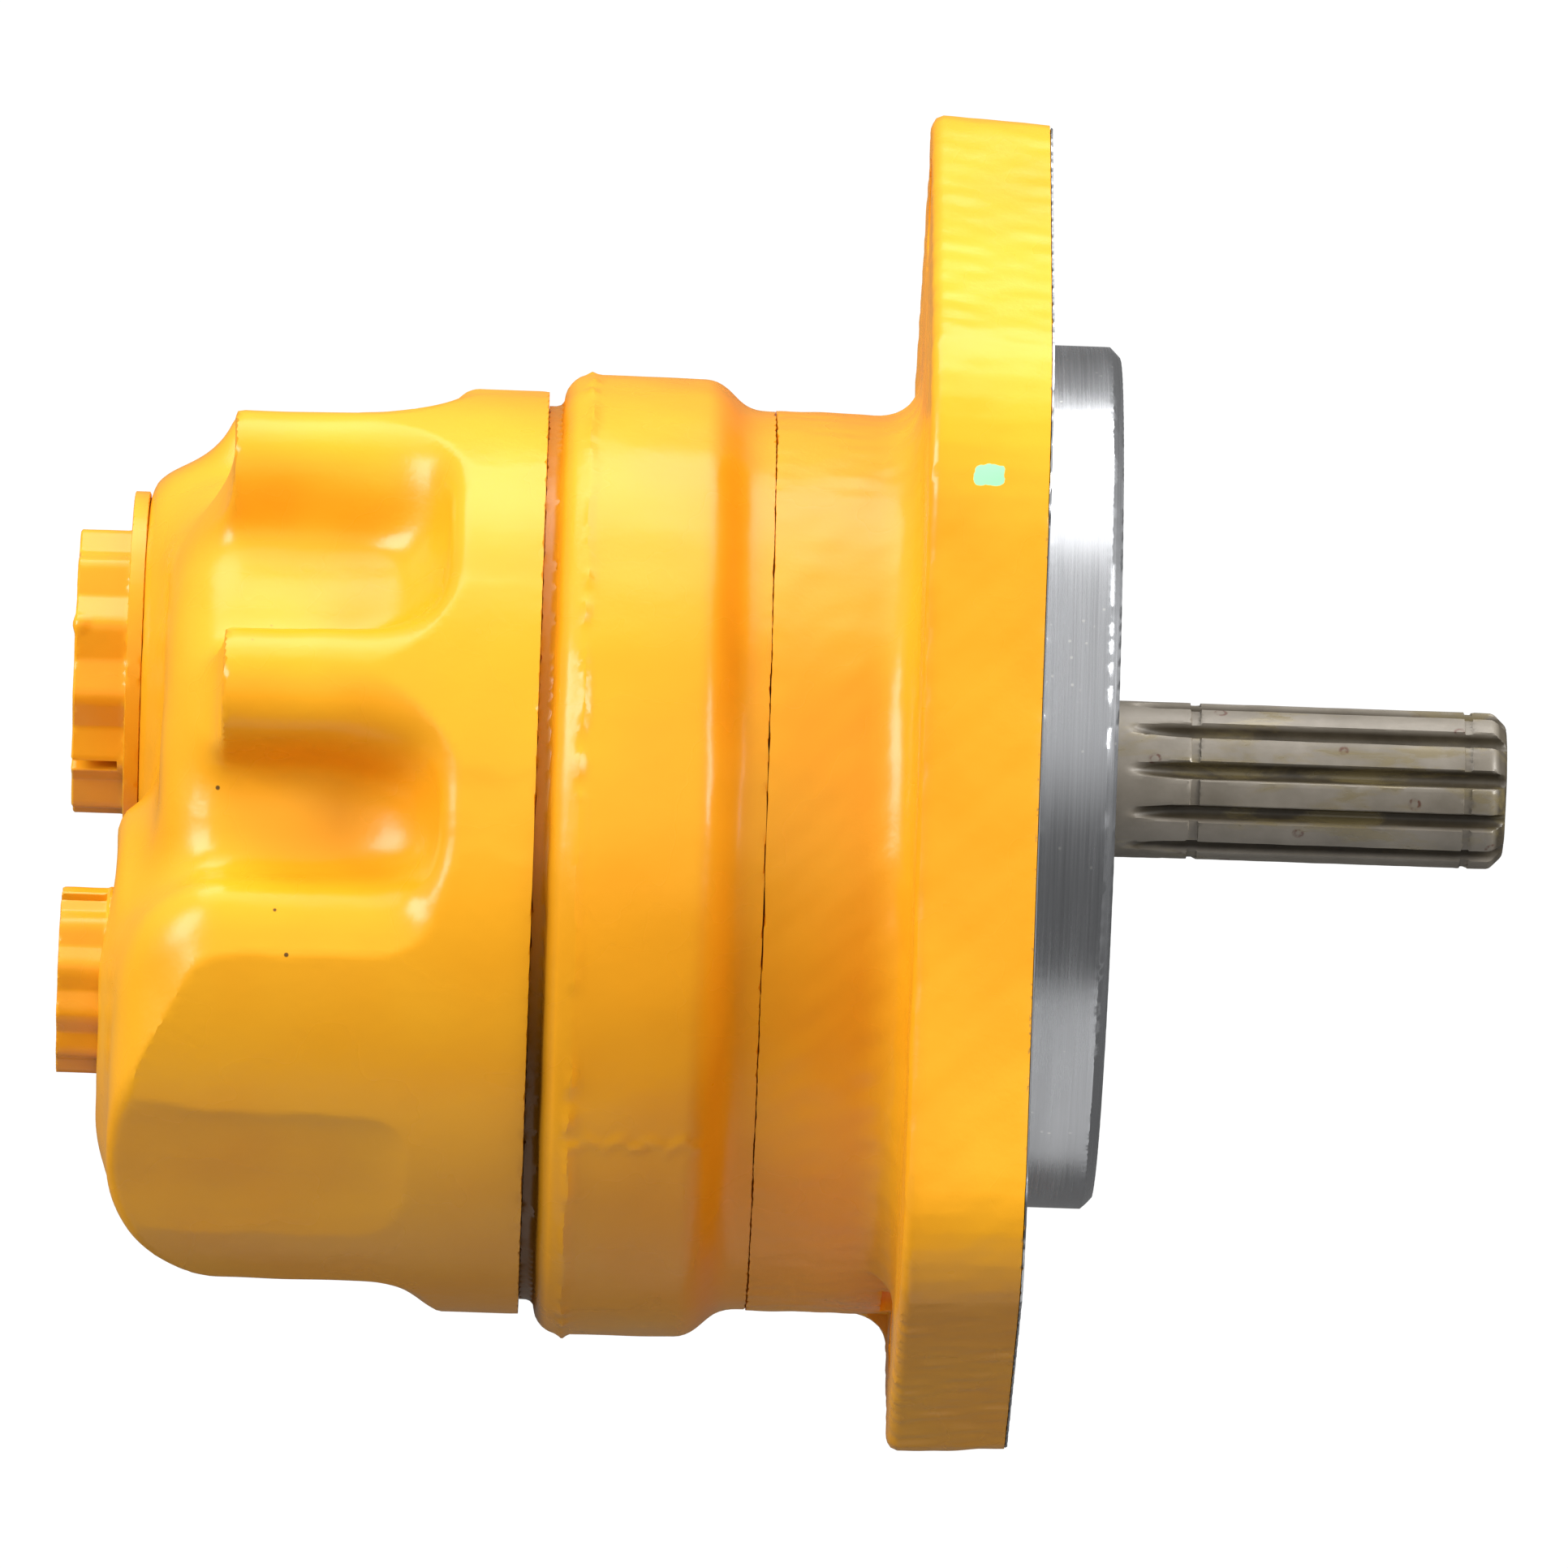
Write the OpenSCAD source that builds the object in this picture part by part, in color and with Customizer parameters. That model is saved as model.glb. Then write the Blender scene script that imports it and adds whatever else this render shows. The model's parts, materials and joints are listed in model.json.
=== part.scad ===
// Hydraulic gear motor with a two-bolt mounting flange, two rear ports and a splined shaft.
// Frame: the origin is the centre of the pilot on the mounting face, +X runs along the shaft
// towards its free end, and +Z runs along the line of the two mounting holes.

/* [Mounting flange] */
// Radius of the pilot
pilot_r = 41.275; // [41.2:0.025:41.3]
// Height of the pilot above the mounting face
pilot_h = 7.2; // [6.4:0.1:7.6]
// Thickness of the flange
flange_t = 11.5; // [10.5:0.5:13]
// Distance between the mounting holes
hole_pitch = 106.4; // [106:0.1:107]
// Radius of a mounting hole
hole_r = 5.55; // [5.4:0.05:5.8]
// Radius of the flange's ends
flange_end_r = 10.8; // [10:0.1:12]
// How far the cast flange sits below the middle of the holes
flange_drop = 1.1; // [0:0.1:2]
// Half the width of the flange between its flat sides
flange_half_w = 48; // [47:0.5:50]
// Radius of the upper corners between the flat sides and the ear
upper_corner_r = 22; // [14:0.5:24]
// Radius of the lower corners between the flat sides and the ear
lower_corner_r = 14; // [12:0.5:20]

/* [Housings] */
// Depth of the front housing behind the mounting face
front_depth = 25.4; // [24:0.2:27]
// Thickness of the gear housing
gear_housing_t = 21.8; // [21:0.2:23]
// Thickness of the rear cover's rim
rim_t = 8.9; // [8:0.1:10]
// Depth of the whole body behind the mounting face
body_depth = 87.1; // [85:0.1:89]
// Radius of the front housing
front_r = 43.4; // [43:0.1:44]
// Radius of the gear housing's ring
ring_r = 46.25; // [46:0.05:47]
// Radius of the rear cover's rim
rim_r = 44.35; // [44:0.05:45]
// Where the lower block's near side lies
pad_near_y = -32.5; // [-34:0.1:-31]
// Where the lower block's bottom lies
pad_bottom_z = -50.4; // [-52:0.1:-49]
// Height at which the slanting pad face starts on the near side
pad_slope_z = -28.1; // [-30:0.1:-26]

/* [Gears] */
// Distance between the two gear axes
gear_distance = 27; // [27:0.1:27.2]
// Angle of the line through the gear axes, below the horizontal
gear_angle = 42; // [40:1:45]
// Number of teeth on each gear
gear_teeth = 10; // [10]

/* [Shaft] */
// Radius of the journals
journal_r = 8; // [7.9:0.05:8]
// Outer radius of the splined end
spline_r = 7.5; // [7.4:0.05:7.6]
// Position of the shaft's free end in front of the mounting face
shaft_end = 45.4; // [44:0.1:47]
// Number of spline teeth
spline_teeth = 11; // [10:1:12]
// Turn of the spline about the shaft at rest
spline_turn = 16.5; // [0:0.5:32]

/* [Ports] */
// Distance of the large port from the body's centre
large_port_offset = 21.6; // [21:0.1:22]
// Distance of the small port from the body's centre
small_port_offset = 18.3; // [18:0.1:19]
// Radius of the large port's thread
large_thread_r = 13.5; // [13:0.1:13.5]
// Radius of the small port's thread
small_thread_r = 7.1; // [6.8:0.1:7.2]

/* [Fasteners] */
// Radius of the circle of cap screws
screw_circle_r = 37; // [36.9:0.1:37.2]
// Places for screws round the body, one of which the lower mounting hole takes up
screw_places = 8; // [8]
// Radius of a cap screw's thread
screw_r = 4; // [3.8:0.1:4]

/* [Hidden] */
$fn = 96;

paint = "#f5ab12";
fit = 0.02;
running_fit = 0.03;

// Joint planes along the shaft, all behind the mounting face
front_x = -front_depth;
rear_x = front_x - gear_housing_t;
rim_x = rear_x - rim_t;
back_x = -body_depth;

// The body's centre lies halfway between the two gear axes
idler_y = gear_distance * cos(gear_angle);
idler_z = -gear_distance * sin(gear_angle);
centre_y = idler_y / 2;
centre_z = idler_z / 2;

// Bushes, thrust plates and gears
bush_wall = 2;
bush_r = journal_r + bush_wall;
bush_length = 14.2;
plate_t = 2.9;
plate_clearance = 0.05;
gear_x = rear_x + plate_t + plate_clearance;
gear_length = gear_housing_t - 2 * (plate_t + plate_clearance);

// Involute teeth
gear_module = gear_distance / gear_teeth;
gear_pitch_r = gear_distance / 2;
pressure_angle = 25;
base_r = gear_pitch_r * cos(pressure_angle);
tip_r = gear_pitch_r + 0.9 * gear_module;
root_r = gear_pitch_r - 1.15 * gear_module;
backlash = 0.25;
pocket_r = tip_r + 0.1;
chamber_r = 6;
chamber_offset = 11;

// Shaft details
spline_root_r = spline_r - 1.3;
spline_start = 9.9;
spline_full = 15.6;
journal_end = 5.6;
shaft_tail = rear_x - bush_length + 0.4;
key_w = 3;
key_length = 10;
ring_groove_r = journal_r - 0.5;
snap_t = 1.1;
snap_recess = 1.6;
snap_outer_r = journal_r + 1.2;

// Groove for the seal at each joint
groove_inner_r = 30.5;
groove_outer_r = 32.3;

// Shaft seal
seal_r = 14.5;
seal_back = -2.6;
seal_front = 4.4;
seal_ring_t = 1.1;

// Screws
head_r = 5.8;
head_h = 8;
head_recess = 1.5;
counterbore_r = 6;
screw_tip = -71;
boss_r = 5.9;
boss_circle_r = 38.5;
boss_end = -77;

// Ports
spot_x = -85.5;
large_head_r = 14.2;
small_head_r = 9.2;
plug_back = -92.1;
plug_neck = 2.6;

// Puts a shape drawn in Y and Z on the plane x, rising along +X
module on_x(x) {
    translate([x, 0, 0]) rotate([90, 0, 90]) children();
}

// Moves a shape to the body's centre
module at_centre() {
    translate([0, centre_y, centre_z]) children();
}

// Moves a shape to the idler's axis
module at_idler() {
    translate([0, idler_y, idler_z]) children();
}

// Turns a shape so that its own +Y runs along the line of the gears
module along_gears() {
    rotate([-gear_angle, 0, 0]) children();
}

// A solid of revolution about the X axis, with its profile given as [radius, x] points
module turned(points) {
    on_x(0) rotate_extrude() polygon(points);
}

// A rod from x to x + length
module rod(x, length, r) {
    on_x(x) cylinder(h = length, r = r);
}

// A tube from x to x + length
module tube(x, length, outer, inner) {
    difference() {
        rod(x, length, outer);
        rod(x - 1, length + 2, inner);
    }
}

// A ring of round section
module oring(x, ring_r, section_r) {
    on_x(x) rotate_extrude() translate([ring_r, 0]) circle(r = section_r, $fn = 32);
}

function arc(cx, cy, r, from, to, steps) =
    [for (i = [0:steps]) let (a = from + (to - from) * i / steps) [cx + r * cos(a), cy + r * sin(a)]];

// Repeats a shape at every cap screw, leaving out the place beside the lower mounting hole
module at_screws(circle_r = screw_circle_r) {
    left_out = 5;
    at_centre() for (i = [0:screw_places - 1])
        if (i != left_out)
            let (a = (i + 0.5) * 360 / screw_places)
            translate([0, circle_r * cos(a), circle_r * sin(a)]) children();
}

// Repeats a shape at the two dowel pins
module at_dowels() {
    at_centre() for (a = [45, 225])
        translate([0, screw_circle_r * cos(a), screw_circle_r * sin(a)]) children();
}

// Moves a shape to a port's axis, given its distance from the body's centre
module at_port(offset) {
    at_centre() along_gears() translate([0, 0, offset]) children();
}

// The pocket that both gears run in, from x to x + length
module gear_pocket(x, length, r) {
    rod(x, length, r);
    at_idler() rod(x, length, r);
}

// Direction, from the Y axis, in which the flange's side leaves a corner for the ear
function ear_slope(r, y, z) =
    atan2(hole_pitch / 2 - z, -y) - acos((r - flange_end_r) / norm([y, hole_pitch / 2 - z]));

// Outline of the flange: two flat sides with round corners, drawn in to an ear at each end
module flange_outline() {
    ear_z = hole_pitch / 2;
    upper_y = flange_half_w - upper_corner_r;
    lower_y = flange_half_w - lower_corner_r;
    upper_z = 24.5;
    lower_z = 36.5;
    up = ear_slope(upper_corner_r, upper_y, upper_z);
    down = ear_slope(lower_corner_r, lower_y, lower_z);
    translate([0, -flange_drop]) polygon(concat(
        arc(lower_y, -lower_z, lower_corner_r, -down, 0, 10),
        arc(upper_y, upper_z, upper_corner_r, 0, up, 12),
        arc(0, ear_z, flange_end_r, up, 180 - up, 16),
        arc(-upper_y, upper_z, upper_corner_r, 180 - up, 180, 12),
        arc(-lower_y, -lower_z, lower_corner_r, 180, 180 + down, 10),
        arc(0, -ear_z, flange_end_r, 180 + down, 360 - down, 16)
    ));
}

module front_housing() {
    chamfer = 1;
    seal_bore = seal_back - 0.1;
    color(paint) difference() {
        union() {
            on_x(-flange_t) linear_extrude(flange_t) flange_outline();
            at_centre() rod(-flange_t, flange_t, ring_r - 0.3);
            at_centre() rod(front_x, front_depth - 1, front_r);
            turned([[0, -1], [pilot_r, -1], [pilot_r, pilot_h - chamfer],
                [pilot_r - chamfer, pilot_h], [0, pilot_h]]);
        }
        for (side = [-1, 1])
            translate([0, 0, side * hole_pitch / 2]) rod(-flange_t - 1, flange_t + 2, hole_r);
        at_screws() rod(front_x - 1, front_depth + 2, screw_r + 0.2);
        at_screws() rod(-head_h - head_recess, head_h + head_recess + pilot_h + 1, counterbore_r);
        at_dowels() rod(front_x - 1, 7.5, 2.52);
        rod(front_x - 1, bush_length + 1, bush_r + fit);
        rod(front_x - 1, front_depth + 2, journal_r + 0.6);
        rod(seal_bore, pilot_h - seal_bore + 1, seal_r + fit);
        rod(seal_front, seal_ring_t + 0.1, seal_r + 0.8);
        at_idler() rod(front_x - 1, bush_length + 1.4, bush_r + fit);
        at_centre() tube(front_x - 1, 2.4, groove_outer_r, groove_inner_r);
        difference() {
            gear_pocket(front_x - 1, 2.3, 14.3);
            gear_pocket(front_x - 2, 4.3, 12.5);
        }
    }
}

module gear_housing() {
    neck_r = rim_r - 0.65;
    edge = 2.5;
    color(paint) difference() {
        at_centre() turned(concat(
            [[0, rear_x], [neck_r, rear_x], [neck_r, rear_x + 1.8]],
            arc(ring_r - edge, rear_x + 1.8 + edge, edge, -90, 0, 8),
            arc(ring_r - edge, front_x - 3 - edge, edge, 0, 60, 6),
            [[front_r, front_x - 1], [front_r, front_x], [0, front_x]]
        ));
        gear_pocket(rear_x - 1, gear_housing_t + 2, pocket_r);
        for (side = [-1, 1]) at_port(side * chamber_offset) rod(rear_x - 1, gear_housing_t + 2, chamber_r);
        at_screws() rod(rear_x - 1, gear_housing_t + 2, screw_r + 0.2);
        at_dowels() rod(rear_x - 1, gear_housing_t + 2, 2.52);
    }
}

// The thick lower block of the cover: flat near, bottom and slanting pad faces, round rear corners
module pad_block() {
    corner = 11;
    size = 70;
    intersection() {
        on_x(back_x) linear_extrude(body_depth + rear_x)
            polygon([[pad_near_y, pad_slope_z], [pad_near_y, -12], [7, -12], [7, pad_bottom_z],
                [pad_near_y + pad_slope_z - pad_bottom_z, pad_bottom_z]]);
        translate([0, 0, -size]) linear_extrude(size)
            polygon(concat([[rear_x, size], [rear_x, pad_near_y]],
                arc(back_x + corner, pad_near_y + corner, corner, -90, -180, 8), [[back_x, size]]));
        translate([0, size / 2, 0]) rotate([90, 0, 0]) linear_extrude(size * 2)
            polygon(concat([[rear_x, 0], [rear_x, pad_bottom_z]],
                arc(back_x + corner, pad_bottom_z + corner, corner, -90, -180, 8), [[back_x, 0]]));
    }
}

// A closed screw boss with a rounded rear end
module screw_boss() {
    edge = 0.8;
    turned(concat([[0, rim_x + 1], [0, boss_end]],
        arc(boss_r - edge, boss_end + edge, edge, -90, 0, 6), [[boss_r, rim_x + 1]]));
}

module rear_cover() {
    core_r = 33.5;
    core_edge = 8;
    large_boss_r = 21.3;
    large_face_r = 16.9;
    small_boss_r = 14;
    color(paint) difference() {
        union() {
            at_centre() rod(rim_x, rim_t, rim_r);
            at_centre() turned(concat(
                [[0, rim_x + 1], [0, back_x + 5]],
                arc(core_r - core_edge, back_x + 5 + core_edge, core_edge, -90, 0, 8),
                [[core_r, rim_x + 1]]
            ));
            at_screws(boss_circle_r) screw_boss();
            pad_block();
            at_port(large_port_offset) turned(concat([[0, rim_x + 1], [0, spot_x], [large_face_r, spot_x]],
                arc(large_boss_r - 6, -77, 6, -40, 0, 5), [[large_boss_r, rim_x + 1]]));
            at_port(-small_port_offset) rod(back_x, 30, small_boss_r);
        }
        rod(rear_x - bush_length - 0.4, bush_length + 1.4, bush_r + fit);
        at_idler() rod(rear_x - bush_length - 0.4, bush_length + 1.4, bush_r + fit);
        at_screws() rod(screw_tip - 2, rear_x - screw_tip + 3, screw_r + fit);
        at_dowels() rod(rear_x - 6.5, 7.5, 2.52);
        at_centre() tube(rear_x - 1.4, 2.4, groove_outer_r, groove_inner_r);
        at_port(large_port_offset) port_hole(spot_x, large_thread_r);
        at_port(-small_port_offset) port_hole(back_x, small_thread_r);
        passage(large_port_offset, 6.5, 1);
        passage(small_port_offset, 5, -1);
    }
}

// A threaded port with a wider mouth for its seal
module port_hole(x, thread_r) {
    rod(x - 1, 18, thread_r + fit);
    rod(x - 1, 1 + plug_neck, thread_r + 1.6);
}

// The slanted drilling from a port to the chamber beside the gears
module passage(offset, r, side) {
    start_x = back_x + 16;
    run = rear_x - start_x;
    drop = offset - chamber_offset;
    slant = atan(drop / run);
    at_port(side * offset) translate([start_x, 0, 0]) rotate([0, side * slant, 0])
        rod(-1, run / cos(slant) + 3, r);
}

// One gap between two spline teeth, with a sloping run-out towards the housing
module spline_gap() {
    inner_w = 1.2;
    outer_w = 2.1;
    depth = spline_r - spline_root_r;
    profile = [[-inner_w / 2, 0], [inner_w / 2, 0], [outer_w / 2, depth + 0.6], [-outer_w / 2, depth + 0.6]];
    slope = atan(depth / (spline_full - spline_start));
    translate([spline_full, 0, spline_root_r])
        on_x(0) linear_extrude(shaft_end - spline_full + 1) polygon(profile);
    translate([spline_full, 0, spline_root_r]) rotate([0, slope, 0])
        on_x(-9) linear_extrude(9.2) polygon(profile);
}

module drive_shaft() {
    groove = 0.25;
    end_chamfer = 1.2;
    color("#5d5a4b") difference() {
        turned([
            [0, shaft_tail], [journal_r - 1, shaft_tail], [journal_r, shaft_tail + 1],
            [journal_r, gear_x + 0.4], [ring_groove_r, gear_x + 0.4],
            [ring_groove_r, gear_x + snap_recess], [journal_r, gear_x + snap_recess],
            [journal_r, gear_x + gear_length - snap_recess],
            [ring_groove_r, gear_x + gear_length - snap_recess],
            [ring_groove_r, gear_x + gear_length - 0.4], [journal_r, gear_x + gear_length - 0.4],
            [journal_r, journal_end], [spline_r, journal_end + 0.9],
            [spline_r, spline_full - 0.45], [spline_r - groove, spline_full - 0.45],
            [spline_r - groove, spline_full + 0.45], [spline_r, spline_full + 0.45],
            [spline_r, 41.2], [spline_r - groove, 41.2], [spline_r - groove, 42], [spline_r, 42],
            [spline_r, shaft_end - end_chamfer], [spline_r - end_chamfer, shaft_end], [0, shaft_end]
        ]);
        for (i = [0:spline_teeth - 1]) rotate([i * 360 / spline_teeth + spline_turn, 0, 0]) spline_gap();
        key_slot(0.02);
    }
}

// The space of the drive gear's key, with a clearance all round
module key_slot(clearance) {
    along_gears() translate([gear_x + (gear_length - key_length) / 2 - clearance,
            6.6 - clearance, -key_w / 2 - clearance])
        cube([key_length + 2 * clearance, 2.5 + 2 * clearance, key_w + 2 * clearance]);
}

module drive_gear_key() {
    color("silver") key_slot(0);
}

function involute_angle(r) = tan(acos(base_r / r)) * 180 / PI - acos(base_r / r);

// Half the angle that a tooth takes up at radius r
function tooth_half_angle(r) =
    (PI * gear_module / 4 - backlash / 2) / gear_pitch_r * 180 / PI
    + involute_angle(gear_pitch_r) - involute_angle(max(r, base_r));

function polar(r, a) = [r * cos(a), r * sin(a)];

module gear_outline() {
    steps = 5;
    radii = [for (i = [0:steps]) base_r + (tip_r - base_r) * i / steps];
    polygon([for (t = [0:gear_teeth - 1]) let (mid = t * 360 / gear_teeth) each concat(
        [polar(root_r, mid - tooth_half_angle(base_r))],
        [for (r = radii) polar(r, mid - tooth_half_angle(r))],
        [for (i = [steps:-1:0]) polar(radii[i], mid + tooth_half_angle(radii[i]))],
        [polar(root_r, mid + tooth_half_angle(base_r))]
    )]);
}

module gear_blank() {
    on_x(gear_x) linear_extrude(gear_length) gear_outline();
}

module drive_gear() {
    color("#8d9094") difference() {
        along_gears() gear_blank();
        rod(gear_x - 1, gear_length + 2, journal_r + 0.01);
        rod(gear_x - 1, snap_recess + 1, snap_outer_r + 0.3);
        rod(gear_x + gear_length - snap_recess, snap_recess + 1, snap_outer_r + 0.3);
        key_slot(0.04);
    }
}

module gear_snap_rings() {
    color("#3a3c3f") for (x = [gear_x + snap_recess - snap_t, gear_x + gear_length - snap_recess])
        difference() {
            tube(x, snap_t, snap_outer_r, ring_groove_r + fit);
            rotate([30, 0, 0]) translate([x - 1, 0, -1.2]) cube([snap_t + 2, 20, 2.4]);
        }
}

module idler_shaft() {
    front_end = front_x + bush_length;
    color("#9a9da1") at_idler() turned([
        [0, shaft_tail], [journal_r - 1, shaft_tail], [journal_r, shaft_tail + 1],
        [journal_r, front_end - 1], [journal_r - 1, front_end], [0, front_end]
    ]);
}

module idler_gear() {
    half_pitch = 180 / gear_teeth;
    color("#8d9094") at_idler() difference() {
        rotate([half_pitch - gear_angle, 0, 0]) gear_blank();
        rod(gear_x - 1, gear_length + 2, journal_r + 0.01);
    }
}

module bush(x) {
    tube(x, bush_length, bush_r, journal_r + running_fit);
}

module front_drive_bush() {
    color("#b08d57") bush(front_x);
}

module front_idler_bush() {
    color("#b08d57") at_idler() bush(front_x);
}

module rear_drive_bush() {
    color("#b08d57") bush(rear_x - bush_length);
}

module rear_idler_bush() {
    color("#b08d57") at_idler() bush(rear_x - bush_length);
}

module thrust_plate(x) {
    color("#c9a55a") difference() {
        gear_pocket(x, plate_t, pocket_r - 0.06);
        gear_pocket(x - 1, plate_t + 2, journal_r + 0.15);
    }
}

module front_thrust_plate() {
    thrust_plate(front_x - plate_t);
}

module rear_thrust_plate() {
    thrust_plate(rear_x);
}

module pressure_seal() {
    color("#202022") difference() {
        gear_pocket(front_x, 1.2, 14.2);
        gear_pocket(front_x - 1, 3.2, 12.6);
    }
}

module front_section_seal() {
    color("#202022") at_centre() tube(front_x, 1.3, groove_outer_r - 0.05, groove_inner_r + 0.05);
}

module rear_section_seal() {
    color("#202022") at_centre() tube(rear_x - 1.3, 1.3, groove_outer_r - 0.05, groove_inner_r + 0.05);
}

module shaft_seal_case() {
    wall = 1.2;
    color("#54575a") turned([
        [seal_r, seal_back], [seal_r, seal_front], [journal_r + 2.6, seal_front],
        [journal_r + 2.6, seal_front - wall], [seal_r - wall, seal_front - wall], [seal_r - wall, seal_back]
    ]);
}

module shaft_seal_lip() {
    inner = journal_r + running_fit;
    color("#1c1c1e") turned([
        [seal_r - 1.25, seal_front - 1.25], [inner + 0.6, seal_front - 1.25], [inner, 1.2], [inner + 0.5, 0],
        [inner + 2.2, 0], [inner + 2.2, 0.6], [inner + 1.6, 1.2], [seal_r - 1.25, 1.2]
    ]);
}

module seal_garter_spring() {
    color("silver") oring(-0.55, journal_r + 1.7, 0.5);
}

module seal_retaining_ring() {
    color("#3a3c3f") difference() {
        tube(seal_front + 0.05, seal_ring_t - 0.05, seal_r + 0.7, seal_r - 1.6);
        rotate([-30, 0, 0]) translate([seal_front - 1, 0, -2]) cube([4, 20, 4]);
    }
}

module dowel_pins() {
    color("silver") at_dowels() rod(rear_x - 6, gear_housing_t + 12, 2.5);
}

module cap_screw() {
    socket_r = 3.2;
    color("#33363a") difference() {
        union() {
            rod(screw_tip, -head_h - head_recess - screw_tip + 0.5, screw_r);
            rod(-head_h - head_recess, head_h, head_r);
        }
        rod(-head_recess - 4, 5, socket_r, $fn = 6);
    }
}

module cap_screws() {
    at_screws() cap_screw();
}

// Outline of a plug's head: round lobes on a circle
module lobed_outline(r) {
    lobes = 12;
    lobe_r = r * 0.3;
    union() {
        circle(r = r * 0.86);
        for (i = [0:lobes - 1])
            rotate(i * 360 / lobes) translate([r - lobe_r, 0]) circle(r = lobe_r, $fn = 24);
    }
}

// A port plug: lobed head with a slot across it, neck for the seal, and shank
module plug(face, head_r_, thread_r, disc_r, disc_t) {
    slot_w = 1.3;
    slot_depth = 4.4;
    color(paint) difference() {
        union() {
            on_x(plug_back) linear_extrude(face - disc_t - plug_back) lobed_outline(head_r_);
            rod(face - disc_t, disc_t, disc_r);
            rod(face - 0.1, plug_neck + 0.2, thread_r - 1);
            rod(face + plug_neck, 12, thread_r);
        }
        rotate([40, 0, 0]) translate([plug_back - 1, -20, -slot_w / 2]) cube([slot_depth + 1, 40, slot_w]);
    }
}

module large_port_plug() {
    at_port(large_port_offset) plug(spot_x, large_head_r, large_thread_r, 17.6, 1.5);
}

module small_port_plug() {
    at_port(-small_port_offset) plug(back_x, small_head_r, small_thread_r, small_head_r, 0.4);
}

module large_port_oring() {
    color("#202022") at_port(large_port_offset) oring(spot_x + plug_neck / 2, large_thread_r + 0.25, 1.2);
}

module small_port_oring() {
    color("#202022") at_port(-small_port_offset) oring(back_x + plug_neck / 2, small_thread_r + 0.25, 1.2);
}

front_housing();
gear_housing();
rear_cover();
drive_shaft();
drive_gear();
idler_shaft();
idler_gear();
drive_gear_key();
gear_snap_rings();
front_drive_bush();
front_idler_bush();
rear_drive_bush();
rear_idler_bush();
front_thrust_plate();
rear_thrust_plate();
pressure_seal();
front_section_seal();
rear_section_seal();
shaft_seal_case();
shaft_seal_lip();
seal_garter_spring();
seal_retaining_ring();
dowel_pins();
cap_screws();
large_port_plug();
large_port_oring();
small_port_plug();
small_port_oring();
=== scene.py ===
"""Looks of a flange-mounted hydraulic gear motor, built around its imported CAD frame.

The castings, the plugs and the splined shaft are carved from distance fields, so that their cast
fillets, drafts and machined edges are real geometry. All shapes are worked out in millimetres.
"""
import json
import math

import bpy
import numpy as np
from mathutils import Matrix, Vector


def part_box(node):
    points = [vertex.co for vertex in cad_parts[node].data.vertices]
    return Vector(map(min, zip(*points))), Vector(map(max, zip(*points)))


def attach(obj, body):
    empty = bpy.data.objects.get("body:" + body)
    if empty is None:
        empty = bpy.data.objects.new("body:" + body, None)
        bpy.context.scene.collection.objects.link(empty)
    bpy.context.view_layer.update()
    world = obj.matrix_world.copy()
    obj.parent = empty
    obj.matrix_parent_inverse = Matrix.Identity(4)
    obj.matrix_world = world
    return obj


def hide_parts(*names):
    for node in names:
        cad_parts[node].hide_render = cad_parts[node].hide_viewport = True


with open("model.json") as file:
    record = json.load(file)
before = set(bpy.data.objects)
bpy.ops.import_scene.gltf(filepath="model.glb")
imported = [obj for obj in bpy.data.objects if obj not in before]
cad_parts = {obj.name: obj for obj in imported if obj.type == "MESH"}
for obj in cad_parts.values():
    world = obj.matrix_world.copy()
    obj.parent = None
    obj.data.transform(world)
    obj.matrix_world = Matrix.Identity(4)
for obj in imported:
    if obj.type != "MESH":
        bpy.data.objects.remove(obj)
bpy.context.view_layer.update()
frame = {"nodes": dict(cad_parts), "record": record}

MM = 0.001
COARSE = 1.0


# ---------------------------------------------------------------- places taken from the frame

def box_mm(node):
    """Lowest and highest corner of a CAD node, in millimetres."""
    low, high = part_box(node)
    return np.array(low) / MM, np.array(high) / MM


def middle_mm(node):
    low, high = box_mm(node)
    return (low + high) / 2


BODY = middle_mm("gear_housing")[1:]
IDLER = middle_mm("idler_shaft")[1:]
LARGE_PORT = middle_mm("large_port_plug")[1:]
SMALL_PORT = middle_mm("small_port_plug")[1:]
RING_R = (box_mm("gear_housing")[1][2] - box_mm("gear_housing")[0][2]) / 2
REAR_X, FRONT_X = box_mm("gear_housing")[0][0], box_mm("gear_housing")[1][0]
BACK_X = box_mm("rear_cover")[0][0]
PILOT_X = box_mm("front_housing")[1][0]
EAR_BOTTOM, EAR_TOP = box_mm("front_housing")[0][2], box_mm("front_housing")[1][2]
PLUG_X = box_mm("large_port_plug")[0][0]
SHAFT_END = box_mm("drive_shaft")[1][0]
SHAFT_TAIL = box_mm("drive_shaft")[0][0]
GEAR_ANGLE = math.atan2(IDLER[1], IDLER[0])

# Mounting flange and pilot
PILOT_R = 41.275
HOLE_Z = 53.2
HOLE_R = 5.55
EAR_R = (EAR_TOP - EAR_BOTTOM) / 2 - HOLE_Z
EAR_DROP = -(EAR_TOP + EAR_BOTTOM) / 2
FLANGE_T = 11.5
SPOT_FACE_R = 10.4
BARE_T = 0.25

# Barrel, ring and rear cover
FRONT_R = 43.4
RIM_R = 44.35
NEAR_Y = -32.5
BOTTOM_Z = -50.4
SLOPE_Z = -28.1
SPOT_X = BACK_X + 1.6
BOSS_END = -77.0

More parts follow.
